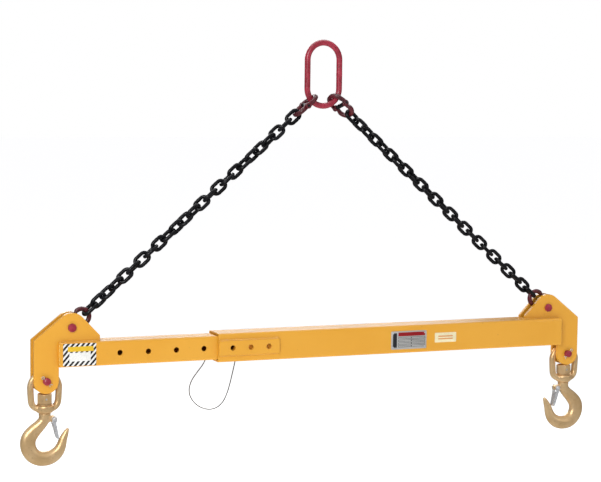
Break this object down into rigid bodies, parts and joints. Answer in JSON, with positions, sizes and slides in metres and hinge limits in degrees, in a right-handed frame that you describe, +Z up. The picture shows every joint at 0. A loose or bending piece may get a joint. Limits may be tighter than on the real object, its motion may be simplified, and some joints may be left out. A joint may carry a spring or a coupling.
{
  "type": "adjustable spreader beam",
  "caption": "Telescoping square-tube spreader beam hung on two chain legs from a master link, with a latched swivel hook at each end.",
  "frame": {"origin": "the seat for the hoist's hook, at the inside of the master link's crown", "axes": "+X along the beam towards the outer tube's end, +Y through the beam from front to back, +Z up"},
  "size_m": [1.652, 0.227, 1.1008],
  "materials": {
    "maroon_paint": "worn maroon paint on forged steel",
    "yellow_paint": "glossy orange-yellow enamel",
    "black_chain": "glossy black lacquer on alloy chain",
    "gold_steel": "gold bronze finish on a forging",
    "zinc": "bright zinc plate",
    "data_plate": "etched plate with a plain red header and no lettering",
    "label": "plain cream vinyl label",
    "hazard": "black and white striped vinyl decal with a plain yellow band",
    "cable": "seven-strand wire rope"
  },
  "bodies": {
    "master_link": {"master_link": "maroon_paint"},
    "left_leg": {"left_upper_coupling_top": "maroon_paint", "left_upper_coupling_bottom": "maroon_paint", "left_upper_load_pin": "black_chain", "left_chain": "black_chain", "left_lower_coupling_top": "maroon_paint", "left_lower_coupling_bottom": "maroon_paint", "left_lower_load_pin": "black_chain"},
    "right_leg": {"right_upper_coupling_top": "maroon_paint", "right_upper_coupling_bottom": "maroon_paint", "right_upper_load_pin": "black_chain", "right_chain": "black_chain", "right_lower_coupling_top": "maroon_paint", "right_lower_coupling_bottom": "maroon_paint", "right_lower_load_pin": "black_chain"},
    "outer_beam": {"outer_tube": "yellow_paint", "front_sleeve_plate": "yellow_paint", "back_sleeve_plate": "yellow_paint", "sleeve_welds": "yellow_paint", "lanyard_anchor": "zinc", "data_plate": "data_plate", "data_plate_rivets": "zinc", "capacity_label": "label", "right_front_cheek": "yellow_paint", "right_back_cheek": "yellow_paint", "right_upper_pin": "maroon_paint", "right_lower_pin": "maroon_paint", "right_cotters": "zinc", "right_end_caps": "yellow_paint", "lanyard": "cable", "lanyard_anchor_end": "zinc"},
    "inner_beam": {"inner_tube": "yellow_paint", "hazard_decal": "hazard", "left_front_cheek": "yellow_paint", "left_back_cheek": "yellow_paint", "left_upper_pin": "maroon_paint", "left_lower_pin": "maroon_paint", "left_cotters": "zinc", "left_end_caps": "yellow_paint"},
    "index_pin": {"index_pin": "zinc", "pull_ring": "zinc", "lanyard_pin_end": "zinc"},
    "left_bail": {"left_bail": "gold_steel", "left_thrust_washer": "gold_steel"},
    "left_hook": {"left_hook": "gold_steel", "left_swivel_nut": "gold_steel", "left_nut_pin": "zinc", "left_latch_bolt": "zinc", "left_latch_spring": "zinc"},
    "left_latch": {"left_latch": "zinc"},
    "right_bail": {"right_bail": "gold_steel", "right_thrust_washer": "gold_steel"},
    "right_hook": {"right_hook": "gold_steel", "right_swivel_nut": "gold_steel", "right_nut_pin": "zinc", "right_latch_bolt": "zinc", "right_latch_spring": "zinc"},
    "right_latch": {"right_latch": "zinc"}
  },
  "joints": [
    {"name": "right_leg_swing", "type": "hinge", "parent": "master_link", "child": "right_leg", "pos_m": [0, 0, -0.1143], "axis": [0, 1, 0], "range_deg": [0, 12.73]},
    {"name": "beam_level", "type": "hinge", "parent": "right_leg", "child": "outer_beam", "pos_m": [0.6953, 0, -0.72845], "axis": [0, 1, 0], "range_deg": [-12.73, 0]},
    {"name": "telescope", "type": "slide", "parent": "outer_beam", "child": "inner_beam", "axis": [1, 0, 0], "range_m": [0, 0.3048]},
    {"name": "left_leg_swing", "type": "hinge", "parent": "master_link", "child": "left_leg", "pos_m": [0, 0, -0.1143], "axis": [0, 1, 0], "range_deg": [-12.73, 0]},
    {"name": "index_pin_slide", "type": "slide", "parent": "outer_beam", "child": "index_pin", "axis": [0, 1, 0], "range_m": [-0.1195, 0], "deforming": ["lanyard"]},
    {"name": "left_bail_swing", "type": "hinge", "parent": "inner_beam", "child": "left_bail", "pos_m": [-0.762, 0, -0.86315], "axis": [0, 1, 0], "range_deg": [-45, 45]},
    {"name": "left_hook_swivel", "type": "hinge", "parent": "left_bail", "child": "left_hook", "pos_m": [-0.762, 0, -0.96315], "axis": [0, 0, 1], "continuous": true},
    {"name": "left_latch_hinge", "type": "hinge", "parent": "left_hook", "child": "left_latch", "pos_m": [-0.739, 0, -0.96315], "axis": [0, 1, 0], "range_deg": [0, 40], "stiffness_Nm_per_rad": 0.3, "springref_deg": -28.65},
    {"name": "right_bail_swing", "type": "hinge", "parent": "outer_beam", "child": "right_bail", "pos_m": [0.762, 0, -0.86315], "axis": [0, 1, 0], "range_deg": [-45, 45]},
    {"name": "right_hook_swivel", "type": "hinge", "parent": "right_bail", "child": "right_hook", "pos_m": [0.762, 0, -0.96315], "axis": [0, 0, 1], "continuous": true},
    {"name": "right_latch_hinge", "type": "hinge", "parent": "right_hook", "child": "right_latch", "pos_m": [0.739, 0, -0.96315], "axis": [0, -1, 0], "range_deg": [0, 40], "stiffness_Nm_per_rad": 0.3, "springref_deg": -28.65}
  ],
  "couplings": [
    {"joint": "right_leg_swing", "follows": "telescope", "rad_per_m": 0.72884},
    {"joint": "beam_level", "follows": "telescope", "rad_per_m": -0.72884},
    {"joint": "left_leg_swing", "follows": "telescope", "rad_per_m": -0.72884}
  ]
}
